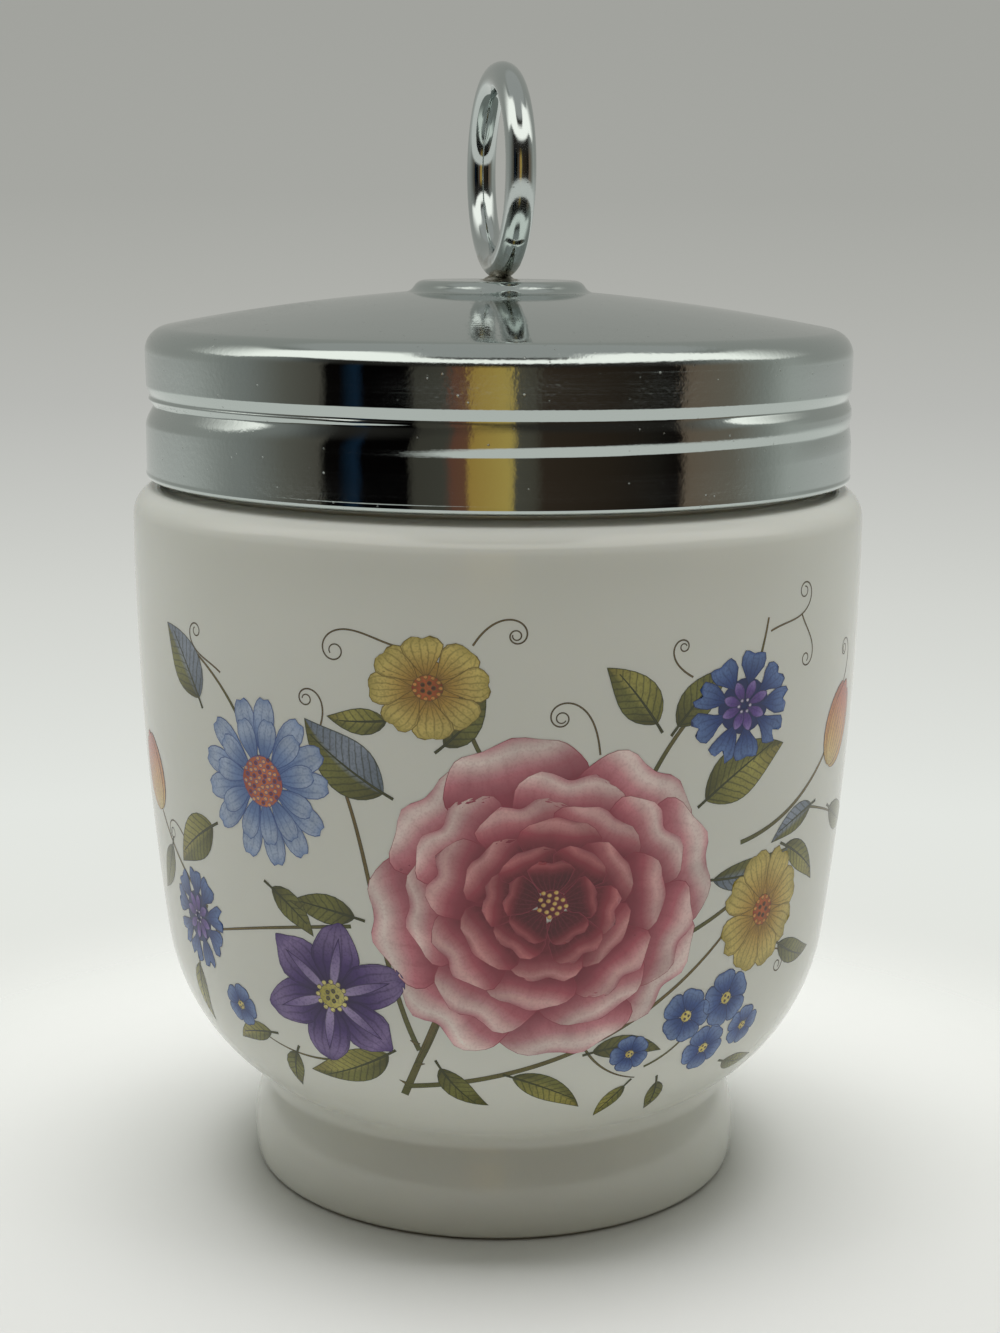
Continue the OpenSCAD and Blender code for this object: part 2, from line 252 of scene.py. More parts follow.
def stroke(start, heading, length, bend=0.0, curl=0.0, thick=(0.3, 0.12), lift=0.008,
           stops=((0, "#5f6230"), (1, "#80693c"))):
    """A tapering stroke: its direction in degrees is heading + bend t + curl t^3, and its
    width goes from thick[0] to thick[1]."""
    t = np.linspace(0, 1, max(8, int(length / 0.45), int((abs(bend) + 3 * abs(curl)) / 15)))
    way = np.radians(heading + bend * t + curl * t ** 3)
    middle = (way[1:] + way[:-1]) / 2
    hop = length / (len(t) - 1)
    x = start[0] + hop * np.concatenate([[0], np.cumsum(np.cos(middle))])
    y = start[1] + hop * np.concatenate([[0], np.cumsum(np.sin(middle))])
    v = np.array([-1.0, 0.0, 1.0])
    half = (thick[0] + (thick[1] - thick[0]) * t)[:, None] / 2
    px = x[:, None] - half * v * np.sin(way)[:, None]
    py = y[:, None] + half * v * np.cos(way)[:, None]
    tint = tinted(np.repeat(t[:, None], 3, axis=1), stops)
    tint[..., 3] = 0
    return on_cup(px, py, lift), tint, half * (1 - np.abs(v)), np.stack([px, py], axis=-1)


def film(name, parts, material):
    """One mesh of many grids, each (rows, columns) of points with a tint, a distance from
    its edge in mm and the coordinates of its fine lines; quads join neighbours."""
    corners, tints, edges, lines, faces, total = [], [], [], [], [], 0
    for points, tint, edge, fine in parts:
        rows, across = points.shape[:2]
        index = np.arange(rows * across).reshape(rows, across) + total
        quads = np.stack([index[:-1, :-1], index[1:, :-1], index[1:, 1:], index[:-1, 1:]], axis=-1)
        faces.append(quads.reshape(-1, 4))
        corners.append(points.reshape(-1, 3))
        tints.append(tint.reshape(-1, 4))
        edges.append(edge.ravel())
        lines.append(fine.reshape(-1, 2))
        total += rows * across
    faces = np.concatenate(faces)
    made = smooth_piece(name, np.concatenate(corners), faces.tolist())
    colours = made.data.attributes.new("tint", "FLOAT_COLOR", "POINT")
    colours.data.foreach_set("color", np.concatenate(tints).ravel())
    rims = made.data.attributes.new("edge", "FLOAT", "POINT")
    rims.data.foreach_set("value", np.concatenate(edges))
    layer = made.data.uv_layers.new(name="fine_lines")
    layer.data.foreach_set("uv", np.concatenate(lines)[faces.ravel()].ravel())
    made.data.materials.append(material)
    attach(made, "cup")


def enamel(name, ink, outline=0.09, stipple=0.25):
    """Fired print enamel. The tint is broken by engraved lines (where the whole part of the
    first fine-line coordinate changes) and dots in the ink's colour, 0.1 to 0.2 mm wide like
    those of the printing plate, and is bounded by an ink outline. It is glossy, as the glaze
    has closed over it in the kiln, but a little duller than bare glaze."""
    material, tree, shader = finish_of(name, IOR=1.5, Roughness=0.13)
    place = add(tree, "TexCoord").outputs["Object"]
    tint = add(tree, "Attribute", attribute_name="tint")
    edge = add(tree, "Attribute", attribute_name="edge").outputs["Fac"]
    fine = add(tree, "UVMap", uv_map="fine_lines").outputs[0]
    across = add(tree, "SeparateXYZ", {0: fine}).outputs[0]
    waver = add(tree, "TexNoise", {"Vector": place, "Scale": 900, "Detail": 2}).outputs[0]
    bent = add(tree, "Math", {0: waver, 1: 0.5, 2: across}, operation="MULTIPLY_ADD").outputs[0]
    saw = add(tree, "Math", {0: bent}, operation="FRACT").outputs[0]
    away = add(tree, "Math", {0: saw, 1: 0.5}, operation="SUBTRACT").outputs[0]
    near = add(tree, "Math", {0: away}, operation="ABSOLUTE").outputs[0]
    hair = add(tree, "MapRange", {0: near, 1: 0.03, 2: 0.17, 3: 1.0, 4: 0.0}).outputs[0]
    engraved = add(tree, "Math", {0: hair, 1: tint.outputs["Alpha"]}, operation="MULTIPLY").outputs[0]
    grain = add(tree, "TexNoise", {"Vector": place, "Scale": 5200, "Detail": 0}).outputs[0]
    dots = add(tree, "MapRange", {0: grain, 1: 0.52, 2: 0.66, 3: 0.0, 4: stipple}).outputs[0]
    rim = add(tree, "MapRange", {0: edge, 1: outline * 0.55, 2: outline, 3: 0.85, 4: 0.0}).outputs[0]
    wash = add(tree, "TexNoise", {"Vector": place, "Scale": 420, "Detail": 2}).outputs[0]
    tone = add(tree, "MapRange", {0: wash, 1: 0.3, 2: 0.7, 3: 0.86, 4: 1.1}).outputs[0]
    colour = tint.outputs["Color"]
    washed = add(tree, "VectorMath", {0: colour, "Scale": tone}, operation="SCALE").outputs[0]
    dotted = add(tree, "Mix", {0: dots, 6: washed, 7: hex_rgb(ink)}, data_type="RGBA").outputs[2]
    lined = add(tree, "Mix", {0: engraved, 6: dotted, 7: hex_rgb(ink)}, data_type="RGBA").outputs[2]
    bound = add(tree, "Mix", {0: rim, 6: lined, 7: hex_rgb(ink)}, data_type="RGBA").outputs[2]
    tree.links.new(bound, shader.inputs["Base Color"])
    return material


stalks = []
for start, heading, length, bend, curl, thick in [
        ((-8.6, 14.2), 64, 15, 6, 0, (0.75, 0.45)), ((-6.5, 19.5), 112, 24, -30, 30, (0.5, 0.28)),
        ((-8.0, 15.4), 8, 34, 30, 10, (0.6, 0.22)), ((-6.8, 18), 60, 16, 30, 0, (0.5, 0.4)),
        ((12.5, 43), 62, 9, -25, 0, (0.4, 0.3)), ((-1.2, 45), 118, 6, -25, 0, (0.36, 0.28)),
        ((17, 29), 20, 9, 14, 0, (0.4, 0.28)), ((21.5, 36), 8, 13.8, 36, 0, (0.42, 0.3)),
        ((-12, 30), 188, 16, 8, 0, (0.34, 0.2)), ((-22, 46), 122, 7, 30, 0, (0.3, 0.2)),
        ((7, 21.5), -72, 9, 60, 0, (0.3, 0.12)), ((14, 16.9), 20, 7, 45, 0, (0.26, 0.16)),
        ((-14, 17.5), 196, 9, -40, 0, (0.3, 0.12)), ((22, 50.5), 70, 4.2, 10, 0, (0.28, 0.2)),
        ((93, 24), 58, 24, 50, 0, (0.5, 0.26)), ((95, 27), 40, 18, 20, 0, (0.4, 0.2)),
        ((94, 26), 110, 20, -20, 0, (0.42, 0.22)), ((90.5, 20.5), 52, 5, 0, 0, (0.7, 0.5)),
        ((92.2, 21.8), -6, 6, 0, 0, (0.28, 0.18)),
        ((91.6, 21.6), 164, 6, 8, 0, (0.28, 0.18)), ((29.5, 37.6), -12, 7.4, -8, 0, (0.26, 0.18)),
        ((108.6, 28), 24, 5, 20, 0, (0.24, 0.16)), ((-28.5, 28.5), 151, 10.8, -23, 0, (0.34, 0.26)),
        ((58, 36), 60, 13, 20, 0, (0.34, 0.16)), ((-64, 17), 92, 13, -28, 0, (0.34, 0.16))]:
    stalks.append(stroke(start, heading, length, bend, curl, thick))
for start, heading, length, bend, curl in [
        ((-7, 53.2), 168, 12, -60, 560), ((-1.8, 53.6), 60, 10, -90, -620), ((8, 44.8), 96, 12, 50, 640),
        ((23.4, 53.4), 18, 11, -70, 600), ((27.4, 54.3), 300, 8, 60, -520),
        ((15.6, 50.5), 150, 7, -50, -540), ((-24, 49.6), 150, 9, 70, -560),
        ((-14.6, 45.2), 60, 9, 50, 520), ((36.5, 46.5), 50, 10, 60, 620), ((-30, 33), 150, 9, -60, 580),
        ((25, 25.5), -10, 9, 60, -560), ((112, 46), 20, 9, 60, 560), ((88, 47), 160, 10, -60, -600),
        ((109, 25), -10, 8, -60, 520), ((62, 47.5), 90, 7, 60, 560), ((-60, 30), 60, 7, -60, -560)]:
    stalks.append(stroke(start, heading, length, bend, curl, (0.17, 0.1), 0.008,
                         ((0, "#85704a"), (1, "#8a6f55"))))
for start, heading in [((-8.0, 15.6), 150), ((-7.0, 18), 10), ((-6.5, 20), 150), ((92.4, 22.6), 130)]:
    stalks.append(stroke(start, heading, 0.9, 0, 0, (0.5, 0.06)))
film("print_stalks", stalks, enamel("stalk green enamel", "#3d3a22", outline=0.07))

# ---------------------------------------------------------------- leaves of the print
# Olive leaves with one half washed over in grey-blue or yellow, as a copperplate engraver
# lays two colours over one drawing; side veins slope forward, 0.75 mm apart.


def blade(start, heading, length, width, stops, lift, peak=1.0, blunt=0.6, bend=0.0, notch=0.0,
          ruffle=0.0, lines=5.0, ink=0.6, fade=0.8, veins=0.0, light=0.0, centre=(0, 0),
          lean=(1.0, 1.0), half_stops=None):
    """A petal or leaf. t runs 0 to 1 along it and v -1 to 1 across. Half its width is
    width / 2 sin(pi t^peak)^blunt; its midline turns by bend degrees; notch draws the tip in
    near the midline; ruffle waves the rim. lean squeezes it towards its flower's centre."""
    rows, across = max(10, int(length / 0.5)), max(5, int(width / 0.55) | 1)
    t, v = np.meshgrid((1 - np.cos(np.linspace(0.1, math.pi - 0.1, rows))) / 2,
                       np.linspace(-1, 1, across), indexing="ij")
    phase = rng.uniform(0, 6.28)
    half = width / 2 * np.sin(math.pi * t ** peak) ** blunt
    half = half * (1 + ruffle * np.sin(11 * t + phase) * np.abs(v))
    side = v * half / (width / 2)
    wave = ruffle * t ** 3 * np.sin(7 * side + phase) / 2
    reach = length * (t - notch * t ** 4 * np.exp(-(side / 0.3) ** 2) + wave)
    way, mid = np.radians(heading + bend * t), np.radians(heading + bend * t / 2)
    x = start[0] + reach * np.cos(mid) - v * half * np.sin(way)
    y = start[1] + reach * np.sin(mid) + v * half * np.cos(way)
    tint = tinted(t, stops)
    if half_stops:
        tint = np.where(v[..., None] > 0.01, tint, tinted(t, half_stops))
    tint[..., :3] *= 1 + light * v[..., None]
    tint[..., 3] = ink * (1 - t) ** fade
    fine = (reach - 0.9 * np.abs(v) * half) / veins if veins else v * lines / 2
    edge = np.minimum((1 - np.abs(v)) * half, (1 - t) * length)
    points = on_cup(centre[0] + x * lean[0], centre[1] + y * lean[1], lift + 0.002 * v)
    return points, tint, edge, np.stack([fine, reach], axis=-1)


OLIVE = ((0, "#4c4a1f"), (0.5, "#83833e"), (1, "#605d28"))
YELLOW_GREEN = ((0, "#77762f"), (0.6, "#b0a956"), (1, "#857a35"))
GREY_BLUE = ((0, "#667280"), (0.5, "#95a0b2"), (1, "#6b7788"))
PETIOLE = 0.9
leaves = []
for x, y, heading, length, width, bend, half_stops in [
        (-8.8, 41.5, 152, 8.6, 4.6, -24, GREY_BLUE), (-27, 47, 118, 7.4, 4.2, 24, GREY_BLUE),
        (-26.4, 36.2, 206, 7.4, 3.9, 22, YELLOW_GREEN), (-11.6, 30.8, 168, 6.2, 2.6, 14, OLIVE),
        (-9.4, 18.8, 214, 9.4, 3.5, -26, YELLOW_GREEN), (-4.8, 17.8, -66, 6.2, 2.5, 40, OLIVE),
        (1.6, 17, -20, 8.2, 2.8, -26, YELLOW_GREEN), (8.6, 19.2, 14, 6.8, 2.3, -40, OLIVE),
        (17.4, 40.2, 36, 9.2, 4.7, -26, YELLOW_GREEN), (18.8, 33.2, -8, 9.6, 2.6, 30, GREY_BLUE),
        (12.6, 47, 122, 6.4, 3.5, 20, YELLOW_GREEN), (14.4, 46.6, 52, 6.4, 3.1, -18, OLIVE),
        (28.4, 25.6, -34, 7.2, 2.3, 36, OLIVE), (27.6, 34.6, -24, 7.2, 2.4, -26, YELLOW_GREEN),
        (31.4, 37.4, 190, 6.4, 2.3, 20, GREY_BLUE), (36.2, 36, -30, 8.6, 2.7, 30, OLIVE),
        (-4, 45.6, 40, 5.2, 2.4, 24, OLIVE), (-8.4, 47.4, 190, 5, 2.2, -20, YELLOW_GREEN),
        (-19.6, 32.2, -30, 5.4, 2.4, -24, OLIVE), (-21.8, 18.6, 186, 5.6, 2.1, 30, YELLOW_GREEN),
        (-19.2, 17.2, 236, 5.2, 2.0, 26, OLIVE), (-34.6, 32.6, 240, 6.4, 2.4, -20, OLIVE),
        (-31.6, 22.6, 250, 6, 2.3, 30, YELLOW_GREEN), (24.6, 14.8, -24, 5.8, 2.0, 30, OLIVE),
        (12.6, 14.9, 236, 4.8, 1.9, 20, YELLOW_GREEN), (16.2, 14.6, -70, 4.6, 1.9, -20, OLIVE),
        (89.6, 30, 148, 9, 4.4, -26, GREY_BLUE), (101.6, 26.6, -4, 8.4, 3.7, 26, YELLOW_GREEN),
        (90, 38.6, 172, 6.2, 2.5, 20, OLIVE), (106.6, 35.6, 4, 7.4, 3.2, 26, GREY_BLUE),
        (97, 21.6, -30, 7.6, 2.7, 30, OLIVE), (86.8, 23, 200, 7, 2.5, -26, YELLOW_GREEN),
        (99.6, 45.4, 96, 6, 2.7, -20, OLIVE), (112.6, 30.6, -40, 5.2, 2, 26, OLIVE),
        (60.6, 40, 8, 5.6, 2.3, 26, OLIVE), (60, 42.4, 150, 5.4, 2.2, -20, YELLOW_GREEN),
        (-64.5, 22.3, 160, 5.6, 2.3, -20, OLIVE), (-62.2, 24.8, 20, 5.2, 2.2, 20, YELLOW_GREEN)]:
    leaves.append(blade((x, y), heading, length, width, OLIVE, 0.014, 0.75, 0.95, bend,
                        ink=0.7, fade=0.15, veins=0.75, half_stops=half_stops))
    way = math.radians(heading)
    petiole = (x - PETIOLE * math.cos(way), y - PETIOLE * math.sin(way))
    leaves.append(stroke(petiole, heading, length * 0.97, bend / 2, 0, (0.26, 0.08), 0.019,
                         ((0, "#4c4a22"), (1, "#5b5a2b"))))
film("print_leaves", leaves, enamel("leaf green enamel", "#333b22", outline=0.1))

# ---------------------------------------------------------------- great peony of the print
# A double pink peony, the largest flower: rings of ruffled petals, deep rose where they
# meet and almost white at their rims, round a tuft of gold stamens.


def petal_ring(parts, centre, count, inner, length, width, stops, lift, turn=0.0, spread=0.05, **shape):
    """Petals at even angles round a centre, starting inner mm from it. The left edge of each
    lies a few microns higher, so it overlaps its neighbour like a real one."""
    for k in range(count):
        heading = turn + 360 * k / count + rng.uniform(-90, 90) * spread
        size = 1 + rng.uniform(-1, 1) * spread
        start = (inner * math.cos(math.radians(heading)), inner * math.sin(math.radians(heading)))
        parts.append(blade(start, heading, length * size, width, stops, lift, centre=centre, **shape))


def disc(parts, centre, across, stops, lift, **shape):
    """A round dot, drawn as a petal as wide as it is long."""
    parts.append(blade((-across / 2, 0), 0, across, across, stops, lift, 1.0, 0.5, ink=0,
                       centre=centre, **shape))


def dots_round(parts, centre, count, away, across, stops, lift, lean=(1.0, 1.0)):
    """Dots at even angles on a circle, or on an ellipse leant as lean says."""
    for k in range(count):
        a = math.radians(360 * k / count)
        at = (centre[0] + away * math.cos(a) * lean[0], centre[1] + away * math.sin(a) * lean[1])
        disc(parts, at, across, stops, lift)


SUNFLOWER_TURN = 137.5
peony = []
bloom = (4.4, 32.6)
for count, inner, length, width, turn, lift, lean, tones in [
        (8, 4.2, 10.6, 11.4, 10, 0.026, (1.0, 0.94), ("#93384a", "#cf7f8b", "#fbebe4", "#d48b97")),
        (7, 3.2, 9.2, 9.6, 34, 0.032, (1.0, 0.93), ("#8c3144", "#c8717e", "#f6dad5", "#cb7a88")),
        (7, 2.4, 7.6, 7.8, 5, 0.038, (1.0, 0.92), ("#822a3b", "#bd5f6d", "#eec3c0", "#bd6877")),
        (6, 1.6, 6.2, 6.6, 28, 0.044, (0.98, 0.9), ("#762331", "#ae4d5b", "#e0a2a1", "#ab5462")),
        (6, 1.2, 4.6, 5.0, 55, 0.050, (0.97, 0.9), ("#6a1c28", "#9c3c49", "#cf8082", "#974352")),
        (5, 0.7, 3.4, 3.9, 15, 0.056, (0.96, 0.9), ("#5a1520", "#872f3a", "#b75f64", "#823542"))]:
    stops = tuple(zip((0.55, 0.74, 0.9, 1), tones))
    petal_ring(peony, bloom, count, inner, length, width, stops, lift, turn, 0.07, lean=lean, peak=1.75,
               blunt=0.5, notch=0.05, ruffle=0.07, lines=7, ink=0.5, fade=1.1, light=0.14)
heart = (4.5, 32.7)
disc(peony, heart, 2.4, ((0, "#4d141d"), (1, "#782c37")), 0.062)
for k in range(16):
    a, away = math.radians(k * SUNFLOWER_TURN), 0.32 * math.sqrt(k + 0.5)
    disc(peony, (heart[0] + away * math.cos(a), heart[1] + 0.9 * away * math.sin(a)), 0.42,
         ((0, "#d9b04a"), (1, "#f0d98a")), 0.068)
bud = (98.4, 34.4)
for count, inner, length, width, turn, lift, tones in [
        (7, 1.6, 6.2, 6.4, 0, 0.026, ("#93384a", "#cf7f8b", "#fbebe4", "#d48b97")),
        (6, 1.1, 4.9, 5.2, 30, 0.032, ("#822a3b", "#bd5f6d", "#eec3c0", "#bd6877")),
        (5, 0.6, 3.2, 3.8, 10, 0.038, ("#6a1c28", "#9c3c49", "#cf8082", "#974352"))]:
    stops = tuple(zip((0.5, 0.72, 0.9, 1), tones))
    petal_ring(peony, bud, count, inner, length, width, stops, lift, turn, 0.06, peak=1.7, blunt=0.5,
               notch=0.05, ruffle=0.06, lines=6, ink=0.4, fade=1.3, light=0.1)
disc(peony, bud, 3.0, ((0, "#5a1520"), (1, "#6a1c28")), 0.023)
dots_round(peony, bud, 7, 0.6, 0.4, ((0, "#d9b04a"), (1, "#f0d98a")), 0.046)
film("print_peony", peony, enamel("rose pink enamel", "#9a3a4b", outline=0.09, stipple=0.12))

# ---------------------------------------------------------------- small flowers of the print
# Asters with sky-blue rays round an orange boss, violet clematis, yellow coreopsis, dark
# blue cornflowers, forget-me-nots, and a flamed tulip in bud at each side of the spray.

asters = []
for centre, size, lean, turn in [((-19.8, 41.2), 1.0, (0.95, 1.0), 0), ((89.4, 43.6), 0.6, (1, 0.9), 10)]:
    sky = ((0, "#4a66a3"), (0.4, "#7390c2"), (0.8, "#b6c6de"), (1, "#7d97c6"))
    for count, inner, length, width, lift, twist in [(13, 1.6, 5.6, 2.3, 0.026, 0),
                                                     (11, 1.3, 4.3, 2.0, 0.032, 14)]:
        petal_ring(asters, centre, count, inner * size, length * size, width * size, sky, lift,
                   turn + twist, 0.04, lean=lean, peak=1.6, blunt=0.55, notch=0.07, lines=3.0,
                   ink=0.6, fade=0.6)
    disc(asters, centre, 4.4 * size, ((0, "#b5502c"), (0.5, "#d97b45"), (1, "#c05a30")), 0.038, lean=lean)
    for k in range(46):
        a, away = math.radians(k * SUNFLOWER_TURN), 0.3 * math.sqrt(k + 0.5) * size
        at = (centre[0] + away * math.cos(a) * lean[0], centre[1] + away * math.sin(a) * lean[1])
        tip = "#f0b070" if k % 3 else "#8c3a20"
        disc(asters, at, 0.42 * size, ((0, tip), (1, tip)), 0.044)
film("print_asters", asters, enamel("sky blue enamel", "#3d5796", outline=0.1))

clematis = []
for centre, size, turn, lean in [((-14.2, 23.6), 1.0, 20, (1, 0.92)),
                                 ((107.6, 42.4), 0.72, 0, (0.95, 1))]:
    petal_ring(clematis, centre, 6, 0.7 * size, 6.6 * size, 4.5 * size,
               ((0, "#2b1a49"), (0.4, "#4c3277"), (0.8, "#8c77ab"), (1, "#523b7c")), 0.026, turn, 0.04,
               lean=lean, peak=1.05, blunt=0.72, ruffle=0.05, lines=5, ink=0.75, fade=0.5)
    petal_ring(clematis, centre, 6, 0.6 * size, 5.2 * size, 1.0 * size,
               ((0, "#b3a3cc"), (0.7, "#8570a8"), (1, "#5c4486")), 0.032, turn, 0.0,
               lean=lean, peak=0.8, blunt=0.9, lines=1, ink=0.1)
    disc(clematis, centre, 2.5 * size, ((0, "#b9ae4a"), (1, "#d9cf7c")), 0.038, lean=lean)
    for count, away, across, code in [(12, 1.35, 0.5, "#e8dc8c"), (5, 0.5, 0.42, "#6f6a2c")]:
        dots_round(clematis, centre, count, away * size, across * size, ((0, code), (1, code)),
                   0.044, lean)
film("print_clematis", clematis, enamel("violet enamel", "#2c1a4c", outline=0.1))

coreopsis = []
for centre, size, turn, lean in [((-5.2, 50.2), 0.92, 5, (1, 0.86)), ((25.2, 29.4), 1.05, 20, (0.9, 1)),
                                 ((98.6, 50.2), 0.62, 0, (1, 0.8)), ((59.6, 48.6), 0.66, 10, (1, 0.9))]:
    disc(coreopsis, centre, 5.6 * size, ((0, "#b58c36"), (1, "#b58c36")), 0.02, lean=lean)
    petal_ring(coreopsis, centre, 8, 0.9 * size, 4.5 * size, 3.5 * size,
               ((0, "#8a5a1f"), (0.22, "#b9913a"), (0.7, "#e0cb74"), (1, "#b4a350")), 0.026, turn, 0.03,
               lean=lean, peak=1.9, blunt=0.55, notch=0.1, ruffle=0.05, lines=5, ink=0.7, fade=0.35)
    disc(coreopsis, centre, 2.7 * size, ((0, "#9c3d1c"), (0.5, "#cf6a2e"), (1, "#8a3a1a")), 0.034,
         lean=lean)
    for count, away, across, code in [(11, 1.1, 0.42, "#e59a4c"), (5, 0.5, 0.42, "#5a2414")]:
        dots_round(coreopsis, centre, count, away * size, across * size, ((0, code), (1, code)),
                   0.04, lean)
film("print_coreopsis", coreopsis, enamel("yellow enamel", "#6b5a1e", outline=0.1))

cornflowers = []
for centre, size, turn, lean in [((20.8, 47.6), 1.0, 0, (1, 0.86)), ((-30.4, 27.2), 0.86, 10, (0.9, 1)),
                                 ((88.6, 36.0), 0.66, 0, (0.9, 1))]:
    disc(cornflowers, centre, 5.4 * size, ((0, "#1c2f6c"), (1, "#1c2f6c")), 0.02, lean=lean)
    petal_ring(cornflowers, centre, 9, 1.1 * size, 4.4 * size, 2.9 * size,
               ((0, "#15235a"), (0.4, "#254489"), (0.85, "#6583ba"), (1, "#33549a")), 0.026, turn, 0.05,
               lean=lean, peak=2.6, blunt=0.6, notch=0.2, ruffle=0.12, lines=4, ink=0.6, fade=0.5)
    petal_ring(cornflowers, centre, 8, 0.2 * size, 2.3 * size, 1.1 * size,
               ((0, "#3d2468"), (0.6, "#6a4aa0"), (1, "#a08ace")), 0.034, turn + 20, 0.08,
               lean=lean, peak=1.4, blunt=0.7, lines=2, ink=0.5)
    dots_round(cornflowers, centre, 6, 0.6 * size, 0.36 * size, ((0, "#d9cfe8"), (1, "#d9cfe8")),
               0.042, lean)
for centre, size, turn in [((17.4, 21.4), 1.0, 0), ((21.8, 22.2), 1.05, 30), ((20.4, 17.6), 0.95, 50),
                           ((25.0, 18.8), 0.8, 10), ((12.2, 18.6), 0.75, 40), ((-25.2, 20.4), 0.8, 0),
                           ((105, 30.4), 0.85, 0), ((108.6, 27.8), 0.75, 30), ((102.8, 28.4), 0.7, 50),
                           ((62.6, 44.6), 0.72, 0), ((-60.6, 30.4), 0.8, 20), ((-63.6, 28.2), 0.7, 50)]:
    petal_ring(cornflowers, centre, 5, 0.3 * size, 2.3 * size, 2.5 * size,
               ((0, "#1f3a78"), (0.35, "#30549b"), (0.85, "#7b96c6"), (1, "#3c5fa6")), 0.026, turn, 0.03,
               peak=1.6, blunt=0.5, notch=0.06, lines=4, ink=0.55, fade=0.7)
    disc(cornflowers, centre, 1.15 * size, ((0, "#dcc65c"), (1, "#efe08c")), 0.032)
    dots_round(cornflowers, centre, 3, 0.26 * size, 0.26 * size, ((0, "#7c6420"), (1, "#7c6420")), 0.038)
film("print_blue_flowers", cornflowers, enamel("cobalt blue enamel", "#1a2858", outline=0.1))

tulips = []
for x, y, heading, size in [(34.4, 40.2, 62, 1.0), (-36.6, 35.4, 112, 0.9), (110.4, 45.4, 70, 0.62)]:
    for turn, length, width, lift, stops in [
            (26, 7.4, 4.0, 0.026, ((0, "#d9c26a"), (0.4, "#dd9a45"), (1, "#b5432a"))),
            (-26, 7.4, 4.0, 0.026, ((0, "#d9c26a"), (0.4, "#dd9a45"), (1, "#b5432a"))),
            (0, 7.8, 4.4, 0.032, ((0, "#e6d382"), (0.35, "#e8b04f"), (0.75, "#d2693a"), (1, "#c04a2e")))]:
        tulips.append(blade((0, 0), heading + turn, length * size, width * size, stops, lift, 0.85,
                            0.7, -turn * 1.4, lines=6, ink=0.7, fade=0.3, centre=(x, y)))
film("print_tulips", tulips, enamel("flame orange enamel", "#7c2a1c", outline=0.1))

# ---------------------------------------------------------------- sealing ring
# Moulded red rubber. It lies loose on the rim and is caught above the bead of the skirt,
# so it comes away with the lid. Its upper side is curved like the inside of the lid.

SKIRT_R, SHEET, CORNER_R, CROWN_SLOPE, CROWN_R = 31.1, 0.5, 2.2, 11.0, 200.0
CORNER_Z, SEAL_W, SEAL_FIT, SEAL_ROUND = 74.3, 3.9, 0.03, 0.25
slope = math.radians(CROWN_SLOPE)
corner_c = np.array([SKIRT_R - CORNER_R, CORNER_Z])
crown_c = corner_c - (CROWN_R - CORNER_R) * np.array([math.sin(slope), math.cos(slope)])


def crown_angle(r, t):
    """Angle on the crown's arc, t mm below its outside, where it reaches radius r."""
    return math.degrees(math.acos((r - crown_c[0]) / (CROWN_R - t)))


def ring_surface(name, points):
    """A closed tube from (rows, columns, 3) points in mm: rows go round its section, columns
    along it, and the last of each meets the first."""
    rows, across = points.shape[:2]
    index = np.arange(rows * across).reshape(rows, across)
    right, up = np.roll(index, -1, axis=1), np.roll(index, -1, axis=0)
    quads = np.stack([index, right, np.roll(right, -1, axis=0), up], axis=-1).reshape(-1, 4)
    return smooth_piece(name, points.reshape(-1, 3), quads.tolist())


seal_out = SKIRT_R - SHEET - SEAL_FIT
seal_in = seal_out - SEAL_W
under = SHEET + SEAL_FIT
inner_a = crown_angle(seal_in + SEAL_ROUND, under)
seal_top = crown_c[1] + (CROWN_R - under) * math.sin(math.radians(inner_a))
section = np.concatenate([
    arc([seal_in + SEAL_ROUND, RIM_Z + SEAL_ROUND], SEAL_ROUND, 180, 270, 0.1),
    line([seal_in + SEAL_ROUND, RIM_Z], [seal_out - SEAL_ROUND, RIM_Z], 0.5)[1:],
    arc([seal_out - SEAL_ROUND, RIM_Z + SEAL_ROUND], SEAL_ROUND, -90, 0, 0.1),
    arc(corner_c, CORNER_R - under, 0, 90 - CROWN_SLOPE, 0.25),
    arc(crown_c, CROWN_R - under, 90 - CROWN_SLOPE, inner_a, 0.4)[1:],
    arc([seal_in + SEAL_ROUND, seal_top - SEAL_ROUND], SEAL_ROUND, 95, 180, 0.1)[1:],
    line([seal_in, seal_top - SEAL_ROUND], [seal_in, RIM_Z + SEAL_ROUND], 0.4)[1:],
])
turns = np.linspace(0, 2 * math.pi, 224, endpoint=False)
seal = ring_surface("seal_rubber", np.stack([
    section[:, :1] * np.cos(turns), section[:, :1] * np.sin(turns),
    np.repeat(section[:, 1:], len(turns), axis=1)], axis=-1))

# Natural rubber filled with chalk and red oxide: matt, a little dusty, with the fine grain
# of the mould, about 0.3 mm. It is darker over its lowest 0.3 mm, where it lies on the rim.
rubber, tree, shader = finish_of("red sealing rubber", IOR=1.52, Roughness=0.62, Sheen_Weight=0.15)
place = add(tree, "TexCoord").outputs["Object"]
tall = add(tree, "SeparateXYZ", {0: place}).outputs["Z"]
cloud = add(tree, "TexNoise", {"Vector": place, "Scale": 220, "Detail": 4}).outputs[0]
red = add(tree, "Mix", {0: cloud, 6: hex_rgb("#8a3b2a"), 7: hex_rgb("#a04a35")},
          data_type="RGBA").outputs[2]
# Darker towards the bottom: the lowest 0.3 mm, where it lies on the rim, is mixed towards dark red-brown.
darker_bottom = add(tree, "MapRange", {0: tall, 1: 0.0734, 2: 0.0737, 3: 0.55, 4: 0.0}).outputs[0]
toned_red = add(tree, "Mix", {0: darker_bottom, 6: red, 7: hex_rgb("#4a241c")}, data_type="RGBA").outputs[2]
tree.links.new(toned_red, shader.inputs["Base Color"])
grain = add(tree, "TexNoise", {"Vector": place, "Scale": 3200, "Detail": 3}).outputs[0]
